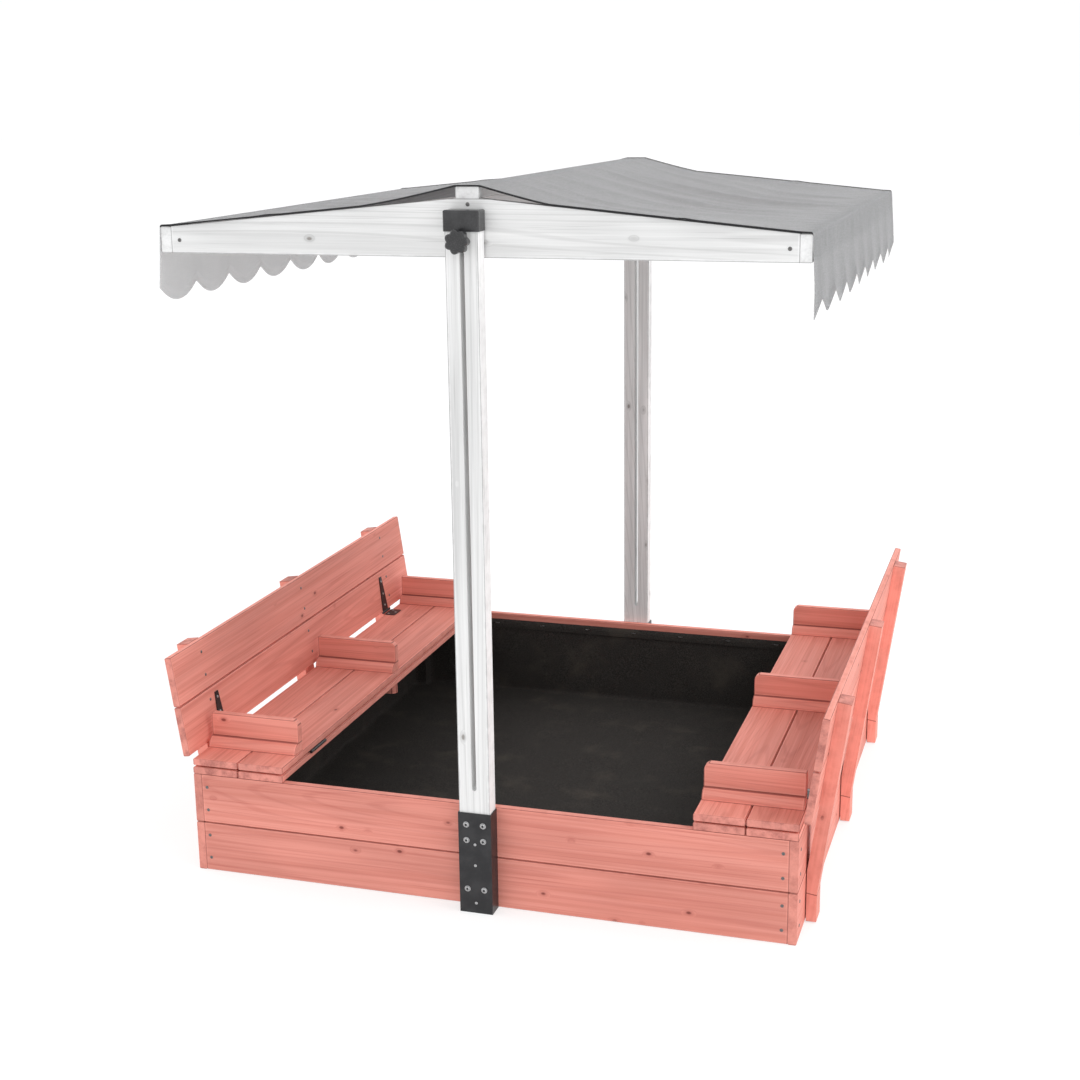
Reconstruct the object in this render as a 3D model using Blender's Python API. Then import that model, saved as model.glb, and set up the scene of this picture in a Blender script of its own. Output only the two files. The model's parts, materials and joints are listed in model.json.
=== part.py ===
"""Square timber sandbox with two folding lid benches and a height-adjustable fabric canopy."""

import math

import bmesh
import bpy
from mathutils import Vector
from mathutils.geometry import tessellate_polygon

for old in list(bpy.data.objects):
    bpy.data.objects.remove(old)

# Box, metres: X is the width, Y the depth, Z up, with the ground at Z = 0
WIDTH = 1.200
DEPTH = 1.200
WALL_THICKNESS = 0.016
WALL_PLANK_HEIGHT = 0.1015
WALL_SEAM = 0.001
GAP = 0.0003
CORNER_POST_SIDE = 0.030
CORNER_POST_TOP = 0.200
LINER_THICKNESS = 0.001
LINER_FLOOR_THICKNESS = 0.002
LINER_LAP = 0.0005
LINER_TOP = 0.190
EDGE_ROUND = 0.0025
EDGE_FACETS = 3
SHARP_ANGLE = math.radians(32)
SAWN_ANGLE = math.radians(3)

# Lid benches: deck fixed to the walls, seat hinged to the deck, back hinged to the seat
LID_THICKNESS = 0.0135
LID_PANEL_WIDTH = 0.193
PLANK_SEAM = 0.002
BACK_HEIGHT = 0.2035
MOVING_LID_DEPTH = 1.197
STACK_GAP = 0.0035
DECK_HINGE_X = 0.405
SEAT_HINGE_X = 0.604
HINGE_RISE = 0.003
BACK_EDGE_TO_PIVOT = 0.001
BACK_LEAN = math.radians(8.0)
CLEAT_WIDTH = 0.025
CLEAT_DEPTH = 0.0195
CLEAT_END_GAP = 0.0015

# Armrests on the seats, battens behind the backs, and the straps of the seat hinges
ARMREST_Y = (-0.535, -0.0175, 0.500)
ARMREST_INNER_X = 0.409
ARMREST_OUTER_X = 0.598
ARMREST_HEIGHT = 0.066
ARMREST_BOARD = 0.015
ARMREST_STRIP = 0.020
ARMREST_ROUND = 0.013
ARMREST_EDGE = 0.001
STRIP_INSET = 0.0005
BATTEN_Y = (-0.4805, -0.0045, 0.4655)
BATTEN_WIDTH = 0.045
BATTEN_THICKNESS = 0.025
BATTEN_FOOT_Z = 0.002
BATTEN_FOOT_INNER_X = 0.602
BATTEN_FOOT_BEND_Z = 0.0615
STRAP_Y = (-0.455, 0.425)
STRAP_HALF_WIDTH = 0.015
STRAP_TIP_HALF_WIDTH = 0.006
STRAP_LENGTH = 0.088
STRAP_THICKNESS = 0.002
STRAP_FOOT = 0.006
STRAP_BACK_Z = 0.003
STRAP_FACE_Z = 0.0032
BARREL_RADIUS = 0.0025

# Canopy posts with their slots, wall brackets and caps
POST_WIDTH = 0.060
POST_DEPTH = 0.032
POST_BOTTOM = 0.003
POST_TOP = 1.3045
SLOT_WIDTH = 0.009
SLOT_BOTTOM = 0.246
SLOT_TOP = 1.2625
BRACKET_HEIGHT = 0.202
BRACKET_STEEL = 0.002
BRACKET_WALL_GAP = 0.0003
BRACKET_POST_GAP = 0.0004
CAP_BOTTOM = 1.272
CAP_TOP = 1.308
CAP_OUTER_HALF_WIDTH = 0.0325
CAP_WALL = 0.0025
CAP_EDGE = 0.002
CAP_TOP_CORNER = 0.001
CAP_HOLE_CORNER = 0.00005

# Clamp bolts and star knobs
CLAMP_Z = 1.2565
BOLT_RADIUS = 0.004
BOLT_HEAD_RADIUS = 0.010
BOLT_HEAD_THICKNESS = 0.004
BOLT_HEAD_EDGE = 0.001
BOLT_TIP_Y = 0.652
BOLT_HOLE_RADIUS = 0.0045
KNOB_BACK_Y = 0.6342
KNOB_RADIUS = 0.0215
KNOB_WAIST = 0.0175
KNOB_LOBES = 7
KNOB_POINTS = 10
KNOB_LOBE_ROUNDNESS = 0.6
KNOB_HUB_RADIUS = 0.0135
KNOB_HUB_LENGTH = 0.010
# Distance from the knob's back, and the share of its full width there
KNOB_PROFILE = ((0.0115, 0.93), (0.013, 1.0), (0.026, 1.0), (0.028, 0.95), (0.029, 0.87))
KNOB_BORE_RADIUS = 0.0043
KNOB_BORE_DEPTH = 0.020

# Canopy frame and fabric
GABLE_OUTER_Y = 0.596
GABLE_THICKNESS = 0.020
GABLE_BOTTOM = 1.2245
GABLE_END_TOP = 1.272
GABLE_PEAK = 1.325
GABLE_HALF_WIDTH = 0.5747
PEAK_HALF_WIDTH = 0.024
RAIL_THICKNESS = 0.020
RIDGE_RAIL_WIDTH = 0.044
RIDGE_RAIL_HEIGHT = 0.020
FABRIC_THICKNESS = 0.0012
FABRIC_HALF_DEPTH = 0.598
FABRIC_SAG = 0.030
FABRIC_OVER_RAIL = 0.0008
FABRIC_OVER_GABLE = 0.0012
FABRIC_CORNER = 0.002
EDGE_SAG = 0.0145
EDGE_SAG_SHARE = 0.65
EAVE_SAG = 0.008
SAG_START = 0.002
SAG_POWER = 0.8
VALANCE_SPLAY = 0.005
VALANCE_DROP = 0.141
SCALLOP_HEIGHT = 0.028
SCALLOPS = 8.5
FABRIC_ROWS = 68
SLOPE_STEPS = 12
DROP_STEPS = 5

BOX_HEIGHT = 2 * WALL_PLANK_HEIGHT + WALL_SEAM
DECK_BOTTOM = BOX_HEIGHT + GAP
DECK_TOP = DECK_BOTTOM + LID_THICKNESS
SEAT_BOTTOM = DECK_TOP + STACK_GAP
SEAT_TOP = SEAT_BOTTOM + LID_THICKNESS
DECK_HINGE_Z = DECK_TOP + STACK_GAP / 2
SEAT_HINGE_Z = SEAT_TOP + HINGE_RISE
INNER_X = WIDTH / 2 - WALL_THICKNESS
INNER_Y = DEPTH / 2 - WALL_THICKNESS
POST_INNER_Y = DEPTH / 2 + 0.0005
POST_OUTER_Y = POST_INNER_Y + POST_DEPTH

materials = {}


def material(name, colour, roughness, metallic=0.0):
    made = bpy.data.materials.new(name)
    made.use_nodes = True
    shader = made.node_tree.nodes["Principled BSDF"]
    shader.inputs["Base Color"].default_value = (*colour, 1.0)
    shader.inputs["Roughness"].default_value = roughness
    shader.inputs["Metallic"].default_value = metallic
    made.diffuse_color = (*colour, 1.0)
    materials[name] = made


def add(name, verts, faces, finish, origin=(0, 0, 0), lean=0.0, sharp=SHARP_ANGLE):
    """One named solid. Its vertices are given about its origin, and lean turns it about Y."""
    mesh = bpy.data.meshes.new(name)
    mesh.from_pydata([tuple(v) for v in verts], [], faces)
    shape = bmesh.new()
    shape.from_mesh(mesh)
    bmesh.ops.remove_doubles(shape, verts=shape.verts, dist=0.00001)
    bmesh.ops.recalc_face_normals(shape, faces=shape.faces)
    if shape.calc_volume(signed=True) < 0:
        bmesh.ops.reverse_faces(shape, faces=shape.faces)
    shape.to_mesh(mesh)
    shape.free()
    mesh.shade_smooth()
    mesh.set_sharp_from_angle(angle=sharp)
    mesh.materials.append(materials[finish])
    obj = bpy.data.objects.new(name, mesh)
    obj.location = origin
    obj.rotation_euler = (0, lean, 0)
    bpy.context.collection.objects.link(obj)
    return obj


def to_axes(u, v, w, axis):
    """A point of a profile (u, v) at w along the named axis."""
    return {"x": (w, u, v), "y": (u, w, v), "z": (u, v, w)}[axis]


def extruded(loops, low, high, axis):
    """A prism from an outline and its holes."""
    flat = [p for loop in loops for p in loop]
    triangles = tessellate_polygon([[Vector((*p, 0)) for p in loop] for loop in loops])
    count = len(flat)
    verts = [to_axes(*p, low, axis) for p in flat] + [to_axes(*p, high, axis) for p in flat]
    faces = [tuple(t) for t in triangles]
    faces += [tuple(i + count for i in reversed(t)) for t in triangles]
    start = 0
    for loop in loops:
        for i in range(len(loop)):
            a, b = start + i, start + (i + 1) % len(loop)
            faces.append((a, b, b + count, a + count))
        start += len(loop)
    return verts, faces


def lofted(sections, axis):
    """A solid through outlines of equal length, each given as (position, points)."""
    count = len(sections[0][1])
    verts = [to_axes(*p, w, axis) for w, points in sections for p in points]
    faces = []
    for ring in range(len(sections) - 1):
        for i in range(count):
            a, b = ring * count + i, ring * count + (i + 1) % count
            faces.append((a, b, b + count, a + count))
    for ring in (0, len(sections) - 1):
        outline = [Vector((*p, 0)) for p in sections[ring][1]]
        faces += [tuple(i + ring * count for i in t) for t in tessellate_polygon([outline])]
    return verts, faces


def hollowed(outer, inner, axis):
    """A solid of nested sections: the outer ones run out and the inner ones come back in."""
    rings = outer + inner[::-1]
    count = len(rings[0][1])
    verts = [to_axes(*p, w, axis) for w, points in rings for p in points]
    faces = []
    for ring in range(len(rings)):
        after = (ring + 1) % len(rings)
        if ring == len(outer) - 1:
            faces.append(tuple(ring * count + i for i in range(count)))
            faces.append(tuple(after * count + i for i in range(count)))
            continue
        for i in range(count):
            j = (i + 1) % count
            faces.append((ring * count + i, ring * count + j, after * count + j, after * count + i))
    return verts, faces


def rectangle(x0, x1, y0, y1, chamfer=0.0):
    if not chamfer:
        return [(x0, y0), (x1, y0), (x1, y1), (x0, y1)]
    c = chamfer
    return [
        (x0 + c, y0), (x1 - c, y0), (x1, y0 + c), (x1, y1 - c),
        (x1 - c, y1), (x0 + c, y1), (x0, y1 - c), (x0, y0 + c),
    ]


def rounded(x0, x1, y0, y1):
    """A rectangle with its corners rounded."""
    r = EDGE_ROUND
    corners = [(x1 - r, y0 + r, 3), (x1 - r, y1 - r, 0), (x0 + r, y1 - r, 1), (x0 + r, y0 + r, 2)]
    points = []
    for cx, cy, quarter in corners:
        for i in range(EDGE_FACETS + 1):
            turn = math.pi / 2 * (quarter + i / EDGE_FACETS)
            points.append((cx + r * math.cos(turn), cy + r * math.sin(turn)))
    return points


def circle(radius, count, cu=0.0, cv=0.0):
    turns = [2 * math.pi * i / count for i in range(count)]
    return [(cu + radius * math.cos(t), cv + radius * math.sin(t)) for t in turns]


def plank(name, finish, x, y, z, along, origin=(0, 0, 0), lean=0.0):
    """A board with rounded long edges, between the limits x, y and z about its origin."""
    spans = {"x": (y, z, x), "y": (x, z, y), "z": (x, y, z)}[along]
    profile = rounded(*spans[0], *spans[1])
    verts, faces = extruded([profile], *spans[2], along)
    return add(name, verts, faces, finish, origin, lean)


def mirrored(span, side):
    """A span along X, on the right (1) or the left (-1)."""
    return tuple(sorted((side * span[0], side * span[1])))


def walls():
    levels = {"lower": (0.0, WALL_PLANK_HEIGHT), "upper": (WALL_PLANK_HEIGHT + WALL_SEAM, BOX_HEIGHT)}
    for level, z in levels.items():
        for name, side in (("left", -1), ("right", 1)):
            x = mirrored((INNER_X, WIDTH / 2), side)
            plank(f"wall_{name}_{level}", "stained_wood", x, (-DEPTH / 2, DEPTH / 2), z, "y")
        for name, side in (("front", -1), ("back", 1)):
            y = mirrored((INNER_Y, DEPTH / 2), side)
            x = (-INNER_X + GAP, INNER_X - GAP)
            plank(f"wall_{name}_{level}", "stained_wood", x, y, z, "x")
    for depth, v in (("front", -1), ("back", 1)):
        for name, u in (("left", -1), ("right", 1)):
            x = mirrored((INNER_X - CORNER_POST_SIDE, INNER_X - GAP), u)
            y = mirrored((INNER_Y - CORNER_POST_SIDE, INNER_Y - GAP), v)
            z = (LINER_FLOOR_THICKNESS + LINER_LAP, CORNER_POST_TOP)
            plank(f"corner_post_{depth}_{name}", "stained_wood", x, y, z, "z")


def notched_square(inset):
    """The inside of the box, less its corner posts."""
    x, y = INNER_X - inset, INNER_Y - inset
    px, py = INNER_X - CORNER_POST_SIDE - inset, INNER_Y - CORNER_POST_SIDE - inset
    quarter = [(x, -py), (x, py), (px, py), (px, y)]
    top = quarter + [(-u, v) for u, v in quarter[::-1]]
    return top[1:-1] + [(-x, -py), (-px, -py), (-px, -y), (px, -y), (px, -py), (x, -py)]


def liner():
    edge = GAP * 2
    flat = [rectangle(-INNER_X + edge, INNER_X - edge, -INNER_Y + edge, INNER_Y - edge)]
    verts, faces = extruded(flat, 0.0, LINER_FLOOR_THICKNESS, "z")
    add("liner_floor", verts, faces, "liner_fabric")
    ring = [notched_square(GAP), notched_square(GAP + LINER_THICKNESS)]
    verts, faces = extruded(ring, LINER_FLOOR_THICKNESS + LINER_LAP, LINER_TOP, "z")
    add("liner_skirt", verts, faces, "liner_fabric")


def posts():
    half = SLOT_WIDTH / 2
    arc = [(half * math.cos(t), half * math.sin(t)) for t in (math.pi * i / 8 for i in range(9))]
    slot = [(u, SLOT_TOP - half + v) for u, v in arc]
    slot += [(-u, SLOT_BOTTOM + half - v) for u, v in arc]
    outline = rectangle(-POST_WIDTH / 2, POST_WIDTH / 2, POST_BOTTOM, POST_TOP)
    inner_y, outer_y = DEPTH / 2 + BRACKET_WALL_GAP, POST_OUTER_Y + GAP
    wide, deep = POST_WIDTH / 2 + BRACKET_POST_GAP, outer_y + BRACKET_STEEL
    for name, side in (("front", -1), ("back", 1)):
        y = mirrored((POST_INNER_Y, POST_OUTER_Y), side)
        verts, faces = extruded([outline, slot], *y, "y")
        add(f"post_{name}", verts, faces, "washed_wood")

        steel = wide + BRACKET_STEEL
        channel = [
            (-steel, side * inner_y), (-steel, side * deep), (steel, side * deep), (steel, side * inner_y),
            (wide, side * inner_y), (wide, side * outer_y), (-wide, side * outer_y), (-wide, side * inner_y),
        ]
        verts, faces = extruded([channel], 0.0, BRACKET_HEIGHT, "z")
        add(f"bracket_{name}", verts, faces, "black_steel")

        near, far = GABLE_OUTER_Y + CAP_WALL, POST_OUTER_Y + CAP_WALL
        outer = rectangle(-CAP_OUTER_HALF_WIDTH, CAP_OUTER_HALF_WIDTH, *mirrored((near, far), side), CAP_EDGE)
        top = rectangle(
            -CAP_OUTER_HALF_WIDTH + CAP_EDGE, CAP_OUTER_HALF_WIDTH - CAP_EDGE,
            *mirrored((near + CAP_EDGE, far - CAP_EDGE), side), CAP_TOP_CORNER,
        )
        hole_y = mirrored((POST_INNER_Y - GAP, POST_OUTER_Y + GAP), side)
        hole = rectangle(-POST_WIDTH / 2 - GAP, POST_WIDTH / 2 + GAP, *hole_y, CAP_HOLE_CORNER)
        outside = [(CAP_BOTTOM, outer), (CAP_TOP - CAP_EDGE, outer), (CAP_TOP, top)]
        inside = [(CAP_BOTTOM, hole), (POST_TOP + GAP, hole)]
        verts, faces = hollowed(outside, inside, "z")
        add(f"post_cap_{name}", verts, faces, "black_plastic")


def clamps():
    origin = (0, 0, CLAMP_Z)
    head_y = GABLE_OUTER_Y - GABLE_THICKNESS - GAP
    lobed = []
    for i in range(KNOB_LOBES * KNOB_POINTS):
        turn = 2 * math.pi * i / (KNOB_LOBES * KNOB_POINTS)
        wave = 0.5 + 0.5 * math.cos(KNOB_LOBES * turn)
        radius = KNOB_WAIST + (KNOB_RADIUS - KNOB_WAIST) * wave**KNOB_LOBE_ROUNDNESS
        lobed.append((radius * math.cos(turn), radius * math.sin(turn)))
    bore = circle(KNOB_BORE_RADIUS, len(lobed))
    for name, side in (("front", -1), ("back", 1)):
        tip = head_y - BOLT_HEAD_THICKNESS
        head = [(tip, 0.8), (tip + BOLT_HEAD_EDGE, 1.0), (head_y, 1.0)]
        rings = [(side * w, circle(BOLT_HEAD_RADIUS * s, 32)) for w, s in head]
        rings += [(side * w, circle(BOLT_RADIUS, 32)) for w in (head_y, BOLT_TIP_Y)]
        verts, faces = lofted(rings, "y")
        add(f"clamp_bolt_{name}", verts, faces, "zinc_steel", origin)

        hub = circle(KNOB_HUB_RADIUS, len(lobed))
        levels = [(0.0, hub), (KNOB_HUB_LENGTH, hub)]
        levels += [(w, [(u * s, v * s) for u, v in lobed]) for w, s in KNOB_PROFILE]
        outside = [(side * (KNOB_BACK_Y + w), points) for w, points in levels]
        inside = [(side * KNOB_BACK_Y, bore), (side * (KNOB_BACK_Y + KNOB_BORE_DEPTH), bore)]
        verts, faces = hollowed(outside, inside, "y")
        add(f"star_knob_{name}", verts, faces, "black_plastic", origin)


def canopy_frame():
    origin = (0, 0, CLAMP_Z)
    gable = [
        (-GABLE_HALF_WIDTH, GABLE_BOTTOM), (GABLE_HALF_WIDTH, GABLE_BOTTOM),
        (GABLE_HALF_WIDTH, GABLE_END_TOP), (PEAK_HALF_WIDTH, GABLE_PEAK),
        (-PEAK_HALF_WIDTH, GABLE_PEAK), (-GABLE_HALF_WIDTH, GABLE_END_TOP),
    ]
    outline = [(u, v - CLAMP_Z) for u, v in gable]
    hole = circle(BOLT_HOLE_RADIUS, 32)
    for name, side in (("front", -1), ("back", 1)):
        y = mirrored((GABLE_OUTER_Y - GABLE_THICKNESS, GABLE_OUTER_Y), side)
        verts, faces = extruded([outline, hole], *y, "y")
        add(f"gable_{name}", verts, faces, "washed_wood", origin, sharp=SAWN_ANGLE)
    y = (-GABLE_OUTER_Y, GABLE_OUTER_Y)
    z = (GABLE_BOTTOM - CLAMP_Z, GABLE_END_TOP - CLAMP_Z)
    for name, side in (("left", -1), ("right", 1)):
        x = mirrored((GABLE_HALF_WIDTH + GAP, GABLE_HALF_WIDTH + GAP + RAIL_THICKNESS), side)
        plank(f"eave_rail_{name}", "washed_wood", x, y, z, "y", origin)
    x = (-RIDGE_RAIL_WIDTH / 2, RIDGE_RAIL_WIDTH / 2)
    low = GABLE_PEAK + GAP - CLAMP_Z
    plank("ridge_rail", "washed_wood", x, y, (low, low + RIDGE_RAIL_HEIGHT), "y", origin)


def fabric_height(x, y):
    """The underside of the canopy fabric between the ridge rail and an eave rail."""
    ridge = (RIDGE_RAIL_WIDTH / 2, GABLE_PEAK + RIDGE_RAIL_HEIGHT + 2 * GAP)
    eave_x = GABLE_HALF_WIDTH + GAP
    along = (x - ridge[0]) / (eave_x - ridge[0])
    straight = ridge[1] + (GABLE_END_TOP + FABRIC_OVER_RAIL - ridge[1]) * along
    slope = (GABLE_END_TOP - GABLE_PEAK) / (GABLE_HALF_WIDTH - PEAK_HALF_WIDTH)
    on_gable = GABLE_PEAK + FABRIC_OVER_GABLE + slope * (x - PEAK_HALF_WIDTH)
    dip = EDGE_SAG * math.sin(math.pi * min(1.0, along / EDGE_SAG_SHARE))
    hanging = straight - dip - EAVE_SAG * along
    edge = max(on_gable, hanging)
    middle = straight - FABRIC_SAG * math.sin(math.pi * along)
    reach = GABLE_OUTER_Y - GABLE_THICKNESS - SAG_START
    weight = max(0.0, 1.0 - (y / reach) ** 2) ** SAG_POWER
    return edge * (1 - weight) + middle * weight


def canopy_fabric():
    ridge_half, eave_x = RIDGE_RAIL_WIDTH / 2, GABLE_HALF_WIDTH + GAP
    outer_x = eave_x + RAIL_THICKNESS
    rail_top = GABLE_END_TOP + FABRIC_OVER_RAIL

    def row(y):
        """Points (x, z) from the bottom of the left valance, over the ridge, to that of the right."""
        halves = []
        for side, phase in ((-1, 0.0), (1, 0.5)):
            turn = math.pi * (phase + (y + FABRIC_HALF_DEPTH) / (2 * FABRIC_HALF_DEPTH) * SCALLOPS)
            drop = VALANCE_DROP - SCALLOP_HEIGHT * (1 - abs(math.sin(turn)))
            points = [(0.0, GABLE_PEAK + RIDGE_RAIL_HEIGHT + 2 * GAP)]
            for i in range(SLOPE_STEPS + 1):
                x = ridge_half + (eave_x - ridge_half) * i / SLOPE_STEPS
                points.append((x, fabric_height(x, y)))
            points.append((outer_x - FABRIC_CORNER / 2, rail_top))
            for i in range(DROP_STEPS + 1):
                part = i / DROP_STEPS
                z = rail_top - FABRIC_CORNER - (drop - FABRIC_CORNER) * part
                points.append((outer_x + GAP + VALANCE_SPLAY * part, z))
            halves.append([(side * x, z) for x, z in points])
        return halves[0][:0:-1] + halves[1]

    rows = [-FABRIC_HALF_DEPTH + 2 * FABRIC_HALF_DEPTH * i / FABRIC_ROWS for i in range(FABRIC_ROWS + 1)]
    lower = [[Vector((x, y, z - CLAMP_Z)) for x, z in row(y)] for y in rows]
    wide = len(lower[0])
    upper = []
    for points in lower:
        shifted = []
        for i, point in enumerate(points):
            before, after = points[max(0, i - 1)], points[min(wide - 1, i + 1)]
            run = (after - before).normalized()
            shifted.append(point + FABRIC_THICKNESS * Vector((-run.z, 0, run.x)))
        upper.append(shifted)

    count = wide * len(rows)
    verts = [p for points in lower for p in points] + [p for points in upper for p in points]
    faces = []
    for j in range(len(rows) - 1):
        for i in range(wide - 1):
            a = j * wide + i
            faces.append((a, a + 1, a + 1 + wide, a + wide))
            faces.append((a + count, a + wide + count, a + 1 + wide + count, a + 1 + count))
    rim = [i for i in range(wide)]
    rim += [j * wide + wide - 1 for j in range(1, len(rows))]
    rim += [(len(rows) - 1) * wide + i for i in range(wide - 2, -1, -1)]
    rim += [j * wide for j in range(len(rows) - 2, 0, -1)]
    for i, a in enumerate(rim):
        b = rim[(i + 1) % len(rim)]
        faces.append((a, a + count, b + count, b))
    add("canopy_fabric", verts, faces, "canopy_fabric", (0, 0, CLAMP_Z))


def pair_of_planks(names, finish, side, start, width, z, half, origin=(0, 0, 0)):
    """Two planks side by side along X, from start outwards, about the hinge they turn on."""
    each = (width - PLANK_SEAM) / 2
    for i, name in enumerate(names):
        x0 = start + i * (each + PLANK_SEAM)
        x = mirrored((x0 - side * origin[0], x0 + each - side * origin[0]), side)
        limits = (z[0] - origin[2], z[1] - origin[2])
        plank(name, finish, x, (-half, half), limits, "y", origin)


def deck(name, side):
    start = WIDTH / 2 - LID_PANEL_WIDTH
    names = [f"{name}_deck_inner", f"{name}_deck_outer"]
    pair_of_planks(names, "stained_wood", side, start, LID_PANEL_WIDTH, (DECK_BOTTOM, DECK_TOP), DEPTH / 2)

    half = CLEAT_WIDTH / 2
    arc = [math.pi * (0.5 + i / 10) for i in range(11)]
    outline = [(start + half + half * math.cos(t), half * math.sin(t)) for t in arc]
    outline += [(INNER_X - CLEAT_END_GAP, -half), (INNER_X - CLEAT_END_GAP, half)]
    outline = [(side * x, y) for x, y in outline]
    verts, faces = extruded([outline], BOX_HEIGHT - CLEAT_DEPTH, BOX_HEIGHT, "z")
    add(f"{name}_deck_cleat", verts, faces, "stained_wood")


def armrest(name, side, y, origin):
    """A board rounded at its inner top corner, with a quarter-round strip along its foot."""
    base, x0, x1 = SEAT_TOP + GAP, ARMREST_INNER_X, ARMREST_OUTER_X
    board_y, end_y = y + ARMREST_STRIP, y + ARMREST_STRIP + ARMREST_BOARD
    r = ARMREST_STRIP
    turns = [math.pi * i / 16 for i in range(8)]
    strip = [(board_y - r * math.cos(t), base + r * math.sin(t)) for t in turns]
    strip[0] = (y, base)
    strip.append((board_y - STRIP_INSET, base + r))

    def section(x):
        into = max(0.0, ARMREST_ROUND - (x - x0))
        top = base + ARMREST_HEIGHT - ARMREST_ROUND + math.sqrt(ARMREST_ROUND**2 - into**2)
        e = ARMREST_EDGE
        board = [(board_y, top - e), (board_y + e, top), (end_y - e, top), (end_y, top - e), (end_y, base)]
        return [(v - origin[1], z - origin[2]) for v, z in strip + board]

    turns = [math.pi / 2 * i / 10 for i in range(11)]
    places = [x0 + ARMREST_ROUND * (1 - math.cos(t)) for t in turns] + [x1]
    sections = [(side * x - origin[0], section(x)) for x in places]
    verts, faces = lofted(sections, "x")
    add(name, verts, faces, "stained_wood", origin)


def in_back_frame(x, z):
    """A point in the plane of X and Z, seen from the seat hinge with the back's lean taken out."""
    dx, dz = x - SEAT_HINGE_X, z - SEAT_HINGE_Z
    c, s = math.cos(BACK_LEAN), math.sin(BACK_LEAN)
    return dx * c - dz * s, dx * s + dz * c


def on_batten_face(depth, z):
    """How far up the back a batten face at this depth meets the level z."""
    c, s = math.cos(BACK_LEAN), math.sin(BACK_LEAN)
    return (z - SEAT_HINGE_Z + depth * s) / c


def backrest(name, side):
    origin, lean = (side * SEAT_HINGE_X, 0, SEAT_HINGE_Z), side * BACK_LEAN
    face, rear = HINGE_RISE, HINGE_RISE + LID_THICKNESS
    low, top = BACK_EDGE_TO_PIVOT, BACK_EDGE_TO_PIVOT + BACK_HEIGHT
    each, half = (BACK_HEIGHT - PLANK_SEAM) / 2, MOVING_LID_DEPTH / 2
    for level, z0 in (("lower", low), ("upper", low + each + PLANK_SEAM)):
        x = mirrored((face, rear), side)
        plank(f"{name}_back_{level}", "stained_wood", x, (-half, half), (z0, z0 + each), "y", origin, lean)

    inner, outer = rear + GAP, rear + GAP + BATTEN_THICKNESS
    c, s = math.cos(BACK_LEAN), math.sin(BACK_LEAN)
    bend = on_batten_face(outer, BATTEN_FOOT_BEND_Z)
    bend_x = SEAT_HINGE_X + outer * c + bend * s
    meet = (BATTEN_FOOT_INNER_X - SEAT_HINGE_X - inner * c) / s
    profile = [
        (inner, top), (inner, meet), in_back_frame(BATTEN_FOOT_INNER_X, BATTEN_FOOT_Z),
        in_back_frame(bend_x, BATTEN_FOOT_Z), (outer, bend), (outer, top),
    ]
    profile = [(side * x, z) for x, z in profile]
    for place, y in zip(("front", "middle", "back"), BATTEN_Y, strict=True):
        verts, faces = extruded([profile], y - BATTEN_WIDTH / 2, y + BATTEN_WIDTH / 2, "y")
        add(f"{name}_batten_{place}", verts, faces, "stained_wood", origin, lean, SAWN_ANGLE)

    strap_x = HINGE_RISE - GAP
    barrel = [math.radians(a) for a in range(-270, 60, 15)]
    widths = [(-STRAP_HALF_WIDTH, STRAP_FOOT), (-STRAP_TIP_HALF_WIDTH, STRAP_LENGTH)]
    widths += [(-y, z) for y, z in widths[::-1]]
    for place, y in zip(("front", "back"), STRAP_Y, strict=True):
        sections = []
        for across, height in widths:
            curl = [(BARREL_RADIUS * math.cos(t), BARREL_RADIUS * math.sin(t)) for t in barrel]
            leaf = [(strap_x, STRAP_BACK_Z), (strap_x, height), (strap_x - STRAP_THICKNESS, height)]
            outline = [*curl, *leaf, (strap_x - STRAP_THICKNESS, STRAP_FACE_Z)]
            sections.append((y + across, [(side * u, v) for u, v in outline]))
        verts, faces = lofted(sections, "y")
        add(f"{name}_hinge_strap_{place}", verts, faces, "black_steel", origin, lean)


def bench(name, side):
    deck(name, side)
    origin = (side * DECK_HINGE_X, 0, DECK_HINGE_Z)
    start = WIDTH / 2 - LID_PANEL_WIDTH
    names = [f"{name}_seat_inner", f"{name}_seat_outer"]
    z = (SEAT_BOTTOM, SEAT_TOP)
    pair_of_planks(names, "stained_wood", side, start, LID_PANEL_WIDTH, z, MOVING_LID_DEPTH / 2, origin)
    for place, y in zip(("front", "middle", "back"), ARMREST_Y, strict=True):
        armrest(f"{name}_armrest_{place}", side, y, origin)
    backrest(name, side)


material("stained_wood", (0.75, 0.27, 0.22), 0.70)
material("washed_wood", (0.78, 0.78, 0.77), 0.75)
material("black_steel", (0.02, 0.02, 0.022), 0.45, 0.6)
material("black_plastic", (0.02, 0.02, 0.02), 0.50)
material("zinc_steel", (0.45, 0.46, 0.48), 0.35, 0.9)
material("canopy_fabric", (0.38, 0.38, 0.38), 0.90)
material("liner_fabric", (0.03, 0.03, 0.033), 0.95)

walls()
liner()
posts()
clamps()
canopy_frame()
canopy_fabric()
bench("left", -1)
bench("right", 1)
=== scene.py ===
"""Looks of the sandbox with folding benches and a fabric canopy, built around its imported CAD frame."""

import json
import math

import bmesh
import bpy
from mathutils import Matrix, Vector, noise


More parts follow.
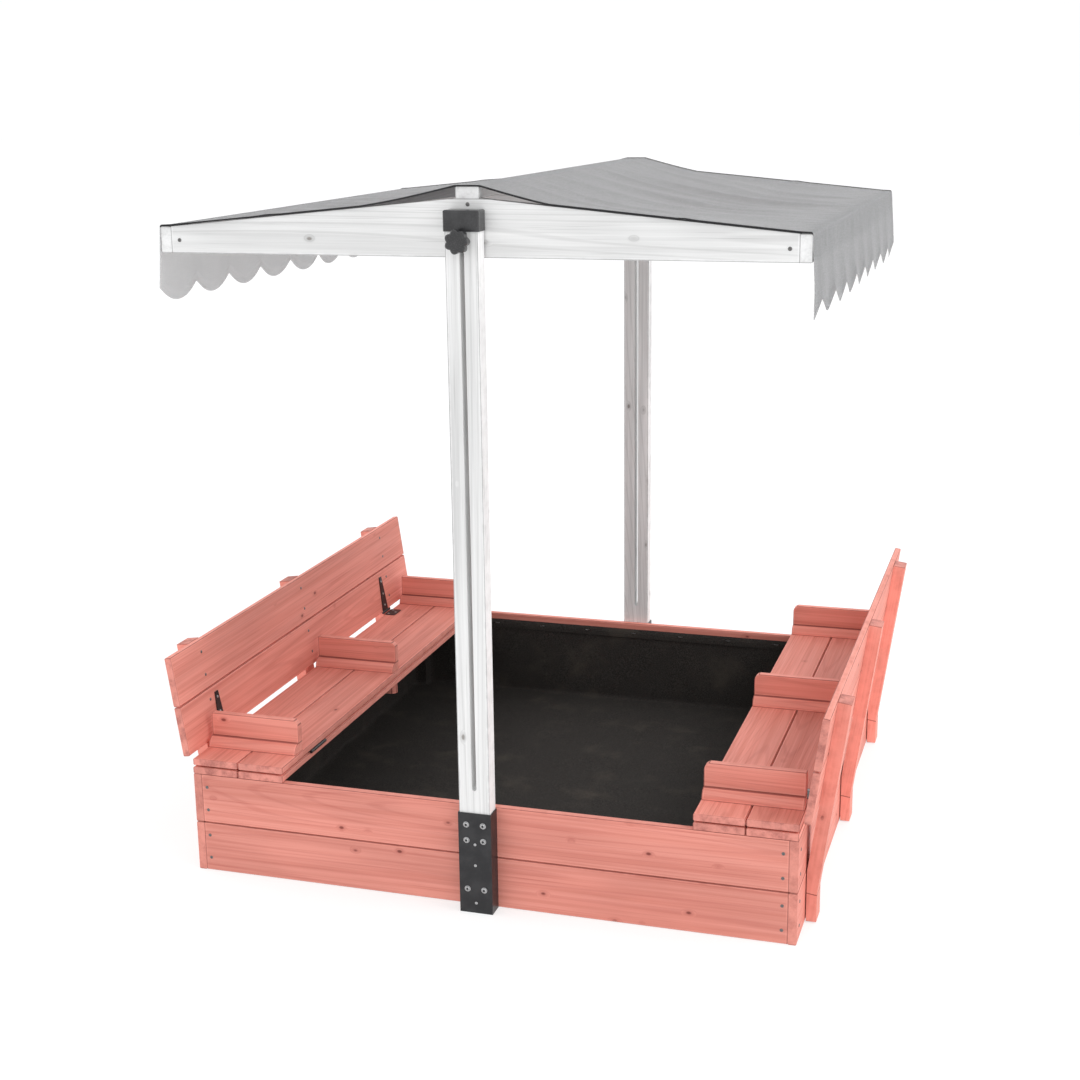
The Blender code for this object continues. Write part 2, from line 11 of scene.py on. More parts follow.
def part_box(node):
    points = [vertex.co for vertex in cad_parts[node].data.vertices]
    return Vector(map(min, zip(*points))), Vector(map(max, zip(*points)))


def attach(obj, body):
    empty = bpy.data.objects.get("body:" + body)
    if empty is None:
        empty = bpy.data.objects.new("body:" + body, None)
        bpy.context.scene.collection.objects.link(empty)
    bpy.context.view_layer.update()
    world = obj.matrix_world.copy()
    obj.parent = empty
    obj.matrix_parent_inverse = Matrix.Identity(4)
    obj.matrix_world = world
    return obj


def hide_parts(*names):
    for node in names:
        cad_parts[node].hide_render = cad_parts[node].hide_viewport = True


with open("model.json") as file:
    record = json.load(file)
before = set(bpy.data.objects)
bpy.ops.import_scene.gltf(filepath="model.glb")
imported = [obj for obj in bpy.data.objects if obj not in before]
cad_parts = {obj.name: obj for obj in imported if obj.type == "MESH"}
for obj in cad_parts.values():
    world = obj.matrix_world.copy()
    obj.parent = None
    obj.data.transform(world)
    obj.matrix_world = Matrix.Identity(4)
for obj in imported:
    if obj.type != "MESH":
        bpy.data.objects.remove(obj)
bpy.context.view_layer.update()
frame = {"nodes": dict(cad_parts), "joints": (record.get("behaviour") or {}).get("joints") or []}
nodes = frame["nodes"]

# Camera: position in metres, turn and tilt in degrees, and lens for a 36 mm sensor
CAMERA_AT = (1.0130, -3.4504, 1.5039)
CAMERA_YAW = 17.32
CAMERA_PITCH = 14.57
CAMERA_ROLL = -0.73
CAMERA_LENS = 57.68
SENSOR = 36.0

# Sizes shared with the CAD, in metres
BACK_LEAN = math.radians(8.0)
BACK_FACE = 0.003
BATTEN_Y = (-0.4805, -0.0045, 0.4655)
BATTEN_BEND = 0.060
STRAP_Y = (-0.455, 0.425)
BUTT_HINGE_Y = (-0.435, 0.435)
CLAMP_Z = 1.2565
ARMREST_STRIP = 0.020
CORNER_POST = 0.030
GABLE_PEAK_HALF = 0.024
GAP = 0.0003

# Screw heads: radius and height
WALL_SCREW = (0.0032, 0.0010)
BRACKET_SCREW = (0.0028, 0.0010)
GABLE_SCREW = (0.0036, 0.0011)
LEAF_SCREW = (0.0030, 0.0010)
BACK_SCREW = (0.0031, 0.0009)
STRAP_SCREW = (0.0028, 0.0010)

# Where the fixings sit: on a bracket as shares of its height from its top, on a back as heights over
# its pivot
WALL_SCREW_FROM_MIDDLE = 0.5725
WALL_SCREW_Z = (0.027, 0.075, 0.129, 0.177)
BRACKET_BOLT_SHARES = (0.115, 0.27, 0.76)
BRACKET_BOLT_X = (-0.0165, 0.0165)
BRACKET_SCREW_SHARES = (0.31, 0.52, 0.90)
GABLE_SCREW_XZ = ((-0.558, 1.2475), (0.558, 1.2475), (0.0, 1.3155))
BACK_SCREW_UP = (0.030, 0.079, 0.132, 0.180)
STRAP_SCREW_UP = (0.016, 0.045, 0.076)

# Hinges: plates as width, length, thickness and corner radius, and knuckles as stretches along Y
SEAT_LEAF = (0.027, 0.046, 0.0016, 0.004)
SEAT_LEAF_X = 0.586
SEAT_LEAF_SCREWS = ((0.592, -0.015), (0.592, 0.015), (0.579, 0.0))
SEAT_KNUCKLES = ((-0.0225, -0.0155), (0.0155, 0.0225))
SEAT_KNUCKLE_RADIUS = 0.0025
STRAP_THICKNESS = 0.0022
BUTT_LEAF = (0.020, 0.070, 0.0012, 0.003)
BUTT_LEAF_X = 0.4195
BUTT_KNUCKLE_RADIUS = 0.0032
BUTT_KNUCKLES = {
    "deck": ((-0.035, -0.0215), (-0.0065, 0.0075), (0.0225, 0.035)),
    "seat": ((-0.021, -0.007), (0.008, 0.022)),
}

# Canopy cloth
CLOTH_THICKNESS = 0.0011
CLOTH_FREE_HALF = 0.574
CLOTH_SAG = 0.030
EDGE_SAG = {-1: 0.010, 1: 0.0145}
EDGE_SAG_SHARE = 0.65
EAVE_SAG = 0.008
FOLD_HEIGHT = 0.0110
DRIFT_HEIGHT = 0.0060
GATHER_HEIGHT = 0.0007
OVER_RAIL = 0.0008
OVER_GABLE = 0.0014
EAVE_BEND = 0.004
VALANCE_DROP = 0.141
VALANCE_SPLAY = 0.005
SCALLOP_HEIGHT = 0.028
SCALLOPS = 8.5
HEM_WIDTH = 0.013
HEM_STEP = 0.0006
HEM_EDGE = 0.0008
CLOTH_ROWS = 170
SLOPE_STEPS = 40
VALANCE_STEPS = 16
# The binding's section: out from the cloth's edge, and up from its underside
BINDING = (
    (-0.005, -0.0002), (0.0006, -0.0008), (0.0012, -0.0003),
    (0.0012, 0.0016), (0.0006, 0.0021), (-0.005, 0.0020),
)

# Liner: its height over the floor, the spacing of its points round the walls, and its rings as shares of the
# floor and as heights up the walls
LINER_FLOOR = 0.0022
LINER_STEP = 0.011
FLOOR_RINGS = (0.02, 0.12, 0.24, 0.36, 0.48, 0.60, 0.70, 0.80, 0.88, 0.94, 0.975, 0.993)
SKIRT_RINGS = (0.006, 0.014, 0.026, 0.042, 0.060, 0.080, 0.100, 0.120, 0.140, 0.158, 0.172, 0.182)
STAPLES = 9
STAPLE_PITCH = 0.12
STAPLE_Z = 0.181
STAPLE_INSET = 0.0050
STAPLE_WIRE = (
    (-0.0055, -0.0004), (-0.0055, 0.0012), (-0.0045, 0.0022),
    (0.0045, 0.0022), (0.0055, 0.0012), (0.0055, -0.0004),
)
STAPLE_SECTION = ((-0.0006, -0.0004), (0.0006, -0.0004), (0.0006, 0.0004), (-0.0006, 0.0004))

# Wood colours: light, middle, dark, knots, and the two colours of sawn ends
STAIN = (
    (0.79, 0.312, 0.250), (0.68, 0.236, 0.182), (0.46, 0.112, 0.088), (0.20, 0.044, 0.034),
    ((0.36, 0.115, 0.095), (0.47, 0.165, 0.137)),
)
WASH = (
    (0.87, 0.87, 0.865), (0.75, 0.75, 0.745), (0.38, 0.376, 0.370), (0.30, 0.28, 0.26),
    ((0.50, 0.50, 0.49), (0.72, 0.72, 0.715)),
)
BENCH_TONE = 1.10
TONE_SWING = 0.04

# Wood pattern: knot cells to the metre along and across the grain, and how strongly the rings show
PATTERN_SPREAD = 26.0
KNOT_CELLS = (10.0, 17.0)
RING_WAVES = 78.0
RINGS_SHOW = 0.20
# Distances from a board's edge: where the pale band of wear and painted highlight begins and is full, and
# where a seam's dark line of stain pooling and painted shade begins, is full, fades and ends
WEAR_AND_HIGHLIGHT = (0.0048, 0.0022)
SEAM = (0.0016, 0.0008, 0.0006, 0.0001)
# Distances from a crease where its dark line of painted shade is full and where it ends
CREASE = (0.0006, 0.0014)

# Studio: floor greys, glow and size, two heights in the sky and the strength at each, and lights as
# place, target, size and power
FLOOR_GREYS = ((0.42, 0.42, 0.42), (0.44, 0.44, 0.44))
FLOOR_GLOW = 0.62
FLOOR_HALF = 50
FLOOR_DROP = 0.0005
SKY_COLOUR = (0.985, 0.99, 1.0, 1.0)
SKY_RANGE = (0.08, 0.60, 1.02, 0.98)
LIGHTS = {
    "key": ((3.4, -0.8, 3.4), (0, 0, 0.2), 2.2, 62),
    "fill": ((-3.6, -0.6, 3.0), (0, 0, 0.3), 2.6, 30),
    "rear": ((1.2, 4.2, 2.2), (0, 0, 0.5), 2.8, 26),
}


class Nodes:
    """A node material, written as calls."""

    def __init__(self, name):
        self.material = bpy.data.materials.new(name)
        self.material.use_nodes = True
        self.tree = self.material.node_tree
        self.shader = self.tree.nodes["Principled BSDF"]

    def feed(self, socket, value):
        if isinstance(value, bpy.types.NodeSocket):
            self.tree.links.new(value, socket)
        else:
            socket.default_value = value

    def add(self, kind, inputs=None, out=0, **settings):
        node = self.tree.nodes.new("ShaderNode" + kind)
        for key, value in settings.items():
            setattr(node, key, value)
        for key, value in (inputs or {}).items():
            self.feed(node.inputs[key], value)
        return node.outputs[out]

    def math(self, operation, a, b=0.0):
        return self.add("Math", {0: a, 1: b}, operation=operation)

    def vector(self, operation, a, b):
        return self.add("VectorMath", {0: a, 1: b}, operation=operation)

    def split(self, vector):
        """The three numbers of a vector."""
        node = self.tree.nodes.new("ShaderNodeSeparateXYZ")
        self.feed(node.inputs[0], vector)
        return node.outputs

    def between(self, value, low, high, to_low=0.0, to_high=1.0):
        """value moved from the range low to high onto another range, smoothly and held at its ends."""
        inputs = {0: value, 1: low, 2: high, 3: to_low, 4: to_high}
        return self.add("MapRange", inputs, interpolation_type="SMOOTHSTEP")

    def mix(self, factor, a, b, blend="MIX"):
        a, b = [(*c, 1.0) if isinstance(c, tuple) and len(c) == 3 else c for c in (a, b)]
        return self.add("Mix", {0: factor, 6: a, 7: b}, out=2, data_type="RGBA", blend_type=blend)

    def over(self, colour, other, mask, strength):
        """A colour with another laid over it where the mask shows."""
        return self.mix(self.math("MULTIPLY", mask, strength), colour, other)

    def grains(self, place, scale, offset, detail=3.0, roughness=0.55):
        """Noise at one scale, or at its own scale along each axis."""
        scale = scale if isinstance(scale, tuple) else (scale, scale, scale)
        stretched = self.vector("ADD", self.vector("MULTIPLY", place, scale), offset)
        inputs = {"Vector": stretched, "Scale": 1.0, "Detail": detail, "Roughness": roughness}
        return self.add("TexNoise", inputs, out="Fac")

    def bump(self, height, strength, distance):
        inputs = {"Height": height, "Strength": strength, "Distance": distance}
        self.feed(self.shader.inputs["Normal"], self.add("Bump", inputs, out="Normal"))

    def finish(self, **sockets):
        for name, value in sockets.items():
            self.feed(self.shader.inputs[name.replace("_", " ")], value)
        return self.material


def per_axis(axis, along, across):
    """A scale that differs along the grain."""
    return tuple(along if i == axis else across for i in range(3))


def knots_and_rings(g, place, axis, shift):
    """The distance to a knot, the knots, and the late wood, which is level lines of a slow noise."""
    cells = g.vector("ADD", g.vector("MULTIPLY", place, per_axis(axis, *KNOT_CELLS)), shift)
    near = g.add("TexVoronoi", {"Vector": cells, "Scale": 1.0, "Randomness": 1.0}, out="Distance")
    in_knot = g.between(near, 0.030, 0.068, 1.0, 0.0)
    round_knot = g.between(near, 0.03, 0.17, 1.0, 0.0)
    broad = g.grains(place, per_axis(axis, 0.32, 7.0), shift, 1.0, 0.35)
    bent = g.math("ADD", g.math("MULTIPLY", broad, 3.0), g.math("MULTIPLY", round_knot, 0.09))
    rings = g.math("SINE", g.math("MULTIPLY", bent, RING_WAVES))
    return near, in_knot, g.between(rings, 0.60, 1.0)


def edge_marks(g, parts, low, high, axis):
    """Where a board's ends and long arrises are pale from wear and painted highlight, and where the seams
    along them are dark from stain pooling and painted shade.
    """
    wide = max((i for i in range(3) if i != axis), key=lambda i: high[i] - low[i])
    worn, pooled_stain_and_shade = 0.0, 0.0
    for i in (axis, wide):
        middle, half = (high[i] + low[i]) / 2, (high[i] - low[i]) / 2
        from_middle = g.math("ABSOLUTE", g.math("SUBTRACT", parts[i], middle))
        worn = g.math("MAXIMUM", worn, g.between(from_middle, half - WEAR_AND_HIGHLIGHT[0], half - WEAR_AND_HIGHLIGHT[1]))
        seam = g.between(from_middle, half - SEAM[0], half - SEAM[1])
        fade = g.between(from_middle, half - SEAM[2], half - SEAM[3], 1.0, 0.0)
        pooled_stain_and_shade = g.math("MAXIMUM", pooled_stain_and_shade, g.math("MULTIPLY", seam, fade))
    return worn, pooled_stain_and_shade


def wood(name, axis, low, high, colours, seed, tone, sawn_show, lean=None, crease=None):
    """A sawn softwood board with its grain along one axis, between the corners low and high.

    lean is the pivot and angle of a board that is turned about Y. crease is a height with a dark line of
    painted shade."""
    light, mid, dark, knot, sawn_colours = colours
    g = Nodes(name)
    place = g.add("TexCoord", out="Object")
    if lean:
        pivot, angle = lean
        inputs = {"Vector": place, "Center": pivot, "Angle": -angle}
        place = g.add("VectorRotate", inputs, rotation_type="Y_AXIS")
    shift = tuple(PATTERN_SPREAD * math.sin(seed * (i + 1.3)) for i in range(3))

    near, in_knot, late_wood = knots_and_rings(g, place, axis, shift)
    fine = g.grains(place, per_axis(axis, 4.0, 420.0), shift, 3.0, 0.6)
    streaks = g.grains(place, per_axis(axis, 1.6, 120.0), shift, 3.0, 0.6)
    cloudy = g.grains(place, per_axis(axis, 3.0, 14.0), shift, 2.0)
    colour = g.mix(g.between(streaks, 0.28, 0.72), light, mid)
    colour = g.over(colour, dark, late_wood, RINGS_SHOW)
    colour = g.over(colour, dark, g.between(fine, 0.55, 0.80), 0.55)
    colour = g.over(colour, dark, g.between(near, 0.06, 0.15, 1.0, 0.0), 0.35)
    colour = g.over(colour, knot, in_knot, 0.9)

    # Sawn ends are darker; arrises are pale, partly wear and partly painted highlight; seams are dark, partly
    # stain pooling and partly painted shade; a crease gets a dark line of painted shade
    normal = g.split(g.add("TexCoord", out="Normal"))
    sawn = g.between(g.math("ABSOLUTE", normal[axis]), 0.85, 0.97)
    growth = g.grains(place, 260.0, shift, 3.0)
    end_colour = g.mix(g.between(growth, 0.35, 0.65), *sawn_colours)
    colour = g.over(colour, end_colour, sawn, sawn_show)
    parts = g.split(place)
    worn, pooled_stain_and_shade = edge_marks(g, parts, low, high, axis)
    # Pale arrises: wear, and a painted highlight where the rounded edges catch the light
    patchy = g.between(g.grains(place, 45.0, shift, 3.0), 0.32, 0.62, 0.10, 0.60)
    colour = g.over(colour, tuple(min(0.95, c * 1.10) for c in light), worn, patchy)
    # A dark line of painted shade along the crease
    if crease:
        from_crease = g.math("ABSOLUTE", g.math("SUBTRACT", parts[2], crease))
        pooled_stain_and_shade = g.math("MAXIMUM", pooled_stain_and_shade, g.between(from_crease, *CREASE, 1.0, 0.0))
    # Dark seams and creases: stain pooling, and painted shade in the gaps and crevices
    colour = g.over(colour, tuple(c * 0.45 for c in dark), pooled_stain_and_shade, 0.8)
    level = g.between(cloudy, 0.30, 0.70, 0.92 * tone, 1.06 * tone)
    shade = g.add("CombineColor", {0: level, 1: level, 2: level})
    colour = g.mix(1.0, colour, shade, "MULTIPLY")

    height = g.math("ADD", g.math("MULTIPLY", fine, 0.6), g.math("MULTIPLY", late_wood, 0.3))
    height = g.math("ADD", height, g.math("MULTIPLY", in_knot, 0.5))
    g.bump(height, 0.35, 0.0006)
    return g.finish(
        Base_Color=colour, Roughness=g.between(fine, 0.3, 0.7, 0.55, 0.78), Specular_IOR_Level=0.32,
    )


def coated_steel():
    """Black powder-coated steel with fine pale grit."""
    g = Nodes("black_steel_coated")
    place = g.add("TexCoord", out="Object")
    grit = g.grains(place, 900.0, (0, 0, 0), 2.0)
    blotch = g.grains(place, 30.0, (5, 1, 2), 4.0)
    colour = g.mix(g.between(blotch, 0.35, 0.7), (0.016, 0.016, 0.018), (0.034, 0.034, 0.036))
    colour = g.mix(g.between(grit, 0.66, 0.78, 0.0, 0.5), colour, (0.10, 0.10, 0.105))
    g.bump(grit, 0.25, 0.0003)
    return g.finish(
        Base_Color=colour, Roughness=g.between(blotch, 0.3, 0.7, 0.30, 0.48), Specular_IOR_Level=0.55,
        Metallic=0.35,
    )


def moulded_plastic():
    """Black plastic with a fine moulded grain."""
    g = Nodes("black_plastic_moulded")
    place = g.add("TexCoord", out="Object")
    leather = g.grains(place, 750.0, (2, 3, 4), 2.0)
    soft = g.grains(place, 40.0, (8, 3, 1), 3.0)
    colour = g.mix(g.between(soft, 0.3, 0.7), (0.020, 0.020, 0.021), (0.036, 0.036, 0.038))
    g.bump(leather, 0.15, 0.0003)
    return g.finish(
        Base_Color=colour, Roughness=g.between(leather, 0.3, 0.7, 0.16, 0.30), Specular_IOR_Level=0.6,
    )


def zinc_plate(name, dull, bright):
    """Zinc plating with small spangles and duller worn patches."""
    g = Nodes(name)
    place = g.add("TexCoord", out="Object")
    spangle = g.add("TexVoronoi", {"Vector": place, "Scale": 900.0}, out="Color")
    grey = g.add("RGBToBW", {0: spangle})
    worn = g.grains(place, 120.0, (1, 1, 1), 4.0)
    colour = g.mix(grey, dull, bright)
    colour = g.mix(g.between(worn, 0.58, 0.75, 0.0, 0.5), colour, tuple(0.7 * c for c in dull))
    g.bump(worn, 0.15, 0.0002)
    return g.finish(Base_Color=colour, Metallic=0.85, Roughness=g.between(worn, 0.3, 0.7, 0.28, 0.45))


def canvas():
    """Grey woven polyester: yarns both ways, uneven dye, a darker turned hem, near-black painted shade on the
    underside of the slopes, and painted light on the inner faces of the valances.
    """
    g = Nodes("canopy_canvas")
    place = g.add("TexCoord", out="Object")
    warp = g.grains(place, (760.0, 42.0, 760.0), (0, 0, 0), 2.0)
    weft = g.grains(place, (42.0, 760.0, 42.0), (3, 5, 7), 2.0)
    weave = g.math("MULTIPLY", g.math("ADD", warp, weft), 0.5)
    dye = g.grains(place, (3.2, 4.1, 5.0), (1, 4, 2), 4.0)
    colour = g.mix(g.between(weave, 0.36, 0.64), (0.135, 0.136, 0.138), (0.200, 0.201, 0.204))
    colour = g.mix(g.between(dye, 0.3, 0.7, 0.0, 0.22), colour, (0.145, 0.145, 0.147))
    for place_name, tint, strength in (
        ("hem", (0.15, 0.15, 0.152), 0.24),
        # paler: painted light on the inner faces of the valances, which hang in shade
        ("valance_inside_painted_light", (0.40, 0.40, 0.402), 0.7),
        # near black: painted shade on the underside of the slopes, where the cloth shades itself
        ("under", (0.022, 0.022, 0.023), 0.95),
    ):
        mask = g.add("Attribute", out="Fac", attribute_name=place_name)
        colour = g.over(colour, tint, mask, strength)
    g.bump(weave, 0.5, 0.0006)
    return g.finish(
        Base_Color=colour, Roughness=g.between(weave, 0.3, 0.7, 0.78, 0.92), Specular_IOR_Level=0.2,
        Sheen_Weight=0.12, Subsurface_Weight=0.90, Subsurface_Scale=0.01, Subsurface_Radius=(1.0, 1.0, 1.0),
    )


def ground_fabric():
    """Black felted ground fabric with dust on it."""
    g = Nodes("liner_felt")
    place = g.add("TexCoord", out="Object")
    fibres = g.grains(place, 520.0, (0, 0, 0), 3.0, 0.7)
    dust = g.grains(place, 11.0, (6, 2, 9), 5.0)
    colour = g.mix(g.between(fibres, 0.35, 0.7), (0.018, 0.016, 0.015), (0.060, 0.055, 0.050))
    colour = g.mix(g.between(dust, 0.5, 0.8, 0.0, 0.35), colour, (0.10, 0.085, 0.068))
    g.bump(fibres, 0.6, 0.0008)
    return g.finish(
        Base_Color=colour, Roughness=g.between(fibres, 0.3, 0.7, 0.85, 1.0), Specular_IOR_Level=0.15,
    )


def webbing():
    """Black ribbed tape."""
    g = Nodes("canopy_binding_tape")
    place = g.add("TexCoord", out="Object")
    ribs = g.grains(place, (900.0, 60.0, 900.0), (0, 0, 0), 2.0)
    colour = g.mix(g.between(ribs, 0.35, 0.65), (0.012, 0.012, 0.013), (0.040, 0.040, 0.042))
    g.bump(ribs, 0.5, 0.0004)
    return g.finish(
        Base_Color=colour, Roughness=g.between(ribs, 0.3, 0.7, 0.7, 0.9), Specular_IOR_Level=0.25,
    )


steel, plastic = coated_steel(), moulded_plastic()
zinc = zinc_plate("zinc_plated", (0.40, 0.40, 0.405), (0.56, 0.56, 0.565))
# Wood screws: zinc painted darker, a painted shade that stands in for the shadow in their countersinks
screw_finish_painted_shade = zinc_plate("zinc_screws_painted_shade", (0.13, 0.128, 0.126), (0.24, 0.236, 0.232))
cloth_finish, liner_finish, binding_finish = canvas(), ground_fabric(), webbing()


def joint_at(name):
    """A joint's anchor."""
    return next(j for j in frame["joints"] if j["name"] == name)["pos_m"]


def grain_axis(name):
    """The axis that a board's grain runs along."""
    if "corner_post" in name or "batten" in name or name in ("post_front", "post_back"):
        return 2
    if name.startswith(("wall_front", "wall_back", "gable")) or "armrest" in name or "cleat" in name:
        return 0
    return 1


def upright_box(obj, pivot, side):
    """The lowest and highest corners of a leaning board, once it is turned upright about its pivot."""
    upright = Matrix.Rotation(-side * BACK_LEAN, 3, "Y")
    corners = [pivot + upright @ (v.co - pivot) for v in obj.data.vertices]
    low = Vector(min(c[i] for c in corners) for i in range(3))
    high = Vector(max(c[i] for c in corners) for i in range(3))
    return low, high


def board_finish(number, name, obj):
    """The wood of one board, with a pattern and a tone of its own."""
    low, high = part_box(name)
    axis = grain_axis(name)
    tone = 1.0 + TONE_SWING * math.sin(number * 2.4)
    if name.startswith(("post_", "gable", "eave", "ridge")):
        return wood(f"wood_{name}", axis, low, high, WASH, number, tone, 0.25)
    sawn_show, lean, crease = 1.0, None, None
    if name.startswith(("left_back", "right_back")) or "batten" in name:
        bench = name.split("_")[0]
        side = -1 if bench == "left" else 1
        pivot = joint_at(f"{bench}_back_fold")
        lean = (tuple(pivot), side * BACK_LEAN)
        low, high = upright_box(obj, Vector(pivot), side)
    if "wall" in name:
        sawn_show = 0.45
    else:
        tone *= BENCH_TONE
    # The armrest's crease is the crevice where its strip meets the board, and the batten's crease is its
    # bend; both get painted shade
    if "armrest" in name:
        sawn_show, crease = 0.0, low.z + ARMREST_STRIP
    elif "batten" in name:
        crease = BATTEN_BEND
    return wood(f"wood_{name}", axis, low, high, STAIN, number, tone, sawn_show, lean, crease)


def node_finish(number, name, obj):
    """The material of one CAD node."""
    if "cap_" in name or "knob" in name:
        return plastic
    if "bracket" in name or "strap" in name:
        return steel
    if "bolt" in name:
        return zinc
    if name == "canopy_fabric":
        return cloth_finish
    if "liner" in name:
        return liner_finish
    return board_finish(number, name, obj)


for number, (name, obj) in enumerate(sorted(nodes.items())):
    obj.material_slots[0].material = node_finish(number, name, obj)


def made(name, verts, faces, finish, body, slot, smooth=40.0):
    """A new piece from its vertices and faces, riding on a body."""
    mesh = bpy.data.meshes.new(name)
    mesh.from_pydata([tuple(v) for v in verts], [], faces)
    shape = bmesh.new()
    shape.from_mesh(mesh)
    bmesh.ops.recalc_face_normals(shape, faces=shape.faces)
    shape.to_mesh(mesh)
    shape.free()
    mesh.shade_smooth()
    mesh.set_sharp_from_angle(angle=math.radians(smooth))
    mesh.materials.append(finish)
    obj = bpy.data.objects.new(name, mesh)
    bpy.context.scene.collection.objects.link(obj)
    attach(obj, body)
    return obj


def rings_to_faces(rings, count, cap_start=True, cap_end=True):
    """Faces of a tube of rings, closed around, with its two ends filled."""
    faces = []
    for ring in range(rings - 1):
        for i in range(count):
            a, b = ring * count + i, ring * count + (i + 1) % count
            faces.append((a, b, b + count, a + count))
    if cap_start:
        faces.append(tuple(range(count)))
    if cap_end:
        faces.append(tuple(range((rings - 1) * count, rings * count)))
    return faces


def turned(profile, count=24):
    """A turned form from (radius, height) pairs; a radius may also be a function of the angle."""
    verts = []
    for radius, height in profile:
        for i in range(count):
            turn = 2 * math.pi * i / count
            r = radius(turn) if callable(radius) else radius
            verts.append(Vector((r * math.cos(turn), r * math.sin(turn), height)))
    return verts, rings_to_faces(len(profile), count)


def screw_head(radius, height):
    """A domed screw head with a cross recess."""
    def cross(turn):
        arm = abs(math.cos(2 * turn)) ** 6
        return radius * (0.16 + 0.38 * arm)
    profile = [
        (radius, -0.0004), (radius, height * 0.35), (radius * 0.86, height * 0.8), (radius * 0.62, height),
        (cross, height), (lambda t: cross(t) * 0.7, height * 0.1),
    ]
    return turned(profile, 32)


def socket_bolt():
    """A button-head bolt on a small washer, its socket open in the middle."""
    washer = turned([
        (0.0058, -0.0003), (0.0058, 0.0008), (0.0054, 0.0011), (0.0048, 0.0011), (0.0048, 0.0004),
    ], 32)
    head = turned([
        (0.0046, 0.0), (0.0046, 0.0016), (0.0041, 0.0025), (0.0033, 0.0030), (0.0026, 0.0031),
        (0.0024, 0.0028), (0.0023, 0.0006),
    ], 32)
    return joined([washer, head])


def clamp_washer(count=24):
    """A flat washer with eased edges, its profile closed on itself through the bore."""
    profile = [
        (0.0046, 0.0), (0.0122, 0.0), (0.0126, 0.0003), (0.0126, 0.0008), (0.0122, 0.0011), (0.0046, 0.0011),
    ]
    last = (len(profile) - 1) * count
    bore = [(i, (i + 1) % count, last + (i + 1) % count, last + i) for i in range(count)]
    return turned(profile, count)[0], rings_to_faces(len(profile), count, False, False) + bore


def plate(width, length, thickness, corner, edge=0.0004):
    """A flat plate with round corners and eased edges, centred in X and Y and standing on Z = 0."""
    def outline(inset):
        points = []
        for quarter, (sx, sy) in enumerate(((1, 1), (-1, 1), (-1, -1), (1, -1))):
            for i in range(5):
                turn = math.pi / 2 * (quarter + i / 4)
                points.append((
                    sx * (width / 2 - corner) + (corner - inset) * math.cos(turn),
                    sy * (length / 2 - corner) + (corner - inset) * math.sin(turn),
                ))
        return points
    levels = ((0.0, 0.0), (0.0, thickness - edge), (edge, thickness))
    verts = [Vector((x, y, z)) for inset, z in levels for x, y in outline(inset)]
    return verts, rings_to_faces(len(levels), 20)


def barrel(radius, start, end, edge=0.0005):
    """A hinge knuckle along Y about the origin."""
    profile = [(radius - edge, start), (radius, start + edge), (radius, end - edge), (radius - edge, end)]
    verts, faces = turned(profile, 20)
    return [Vector((v.x, v.z, v.y)) for v in verts], faces


def joined(shapes):
    """Several (verts, faces) shapes as one."""
    verts, faces = [], []
    for v, f in shapes:
        start = len(verts)
        verts += v
        faces += [tuple(i + start for i in face) for face in f]
    return verts, faces


def placed(shape, at, facing=(0, 0, 1), spin=0.0):
    """A shape moved to a point, with its Z axis turned to face a direction."""
    turn = Vector((0, 0, 1)).rotation_difference(Vector(facing)).to_matrix() @ Matrix.Rotation(spin, 3, "Z")
    return [turn @ v + Vector(at) for v in shape[0]], shape[1]


def moved(shape, by):
    """A shape shifted without turning."""
    return [v + Vector(by) for v in shape[0]], shape[1]


def scatter(name, shape, spots, finish, body, slot):
    """One piece of many equal fixings, each spot a point and the way it faces."""
    copies = [placed(shape, at, facing, 0.7 * i) for i, (at, facing) in enumerate(spots)]
    return made(name, *joined(copies), finish, body, slot)


def wall_screws():
    """Two screws in each wall board at each end, into the corner posts."""
    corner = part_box("wall_right_upper")[1]
    across = WALL_SCREW_FROM_MIDDLE
    spots = []
    for z in WALL_SCREW_Z:
        for side in (-1, 1):
            for end in (-1, 1):
                spots.append(((end * across, side * corner.y, z), (0, side, 0)))
                spots.append(((side * corner.x, end * across, z), (side, 0, 0)))
    scatter("wall_screws", screw_head(*WALL_SCREW), spots, screw_finish_painted_shade, "box", "zinc_steel")


def bracket_fixings(place, side):
    """The bolts, their sockets and the small screws of one bracket."""
    low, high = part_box(f"bracket_{place}")
    face_y = low.y if side < 0 else high.y
    tall = high.z - low.z
    facing = (0, side, 0)
    bolts = []
    for share in BRACKET_BOLT_SHARES:
        bolts += [((x, face_y, high.z - share * tall), facing) for x in BRACKET_BOLT_X]
    scatter(f"bracket_bolts_{place}", socket_bolt(), bolts, zinc, "box", "zinc_steel")
    socket = turned([(0.0022, 0.0004), (0.0022, 0.0013), (0.0018, 0.0012)], 16)
    scatter(f"bracket_sockets_{place}", socket, bolts, steel, "box", "black_steel")
    screws = [((0, face_y, high.z - share * tall), facing) for share in BRACKET_SCREW_SHARES]
    scatter(f"bracket_screws_{place}", screw_head(*BRACKET_SCREW), screws, zinc, "box", "zinc_steel")


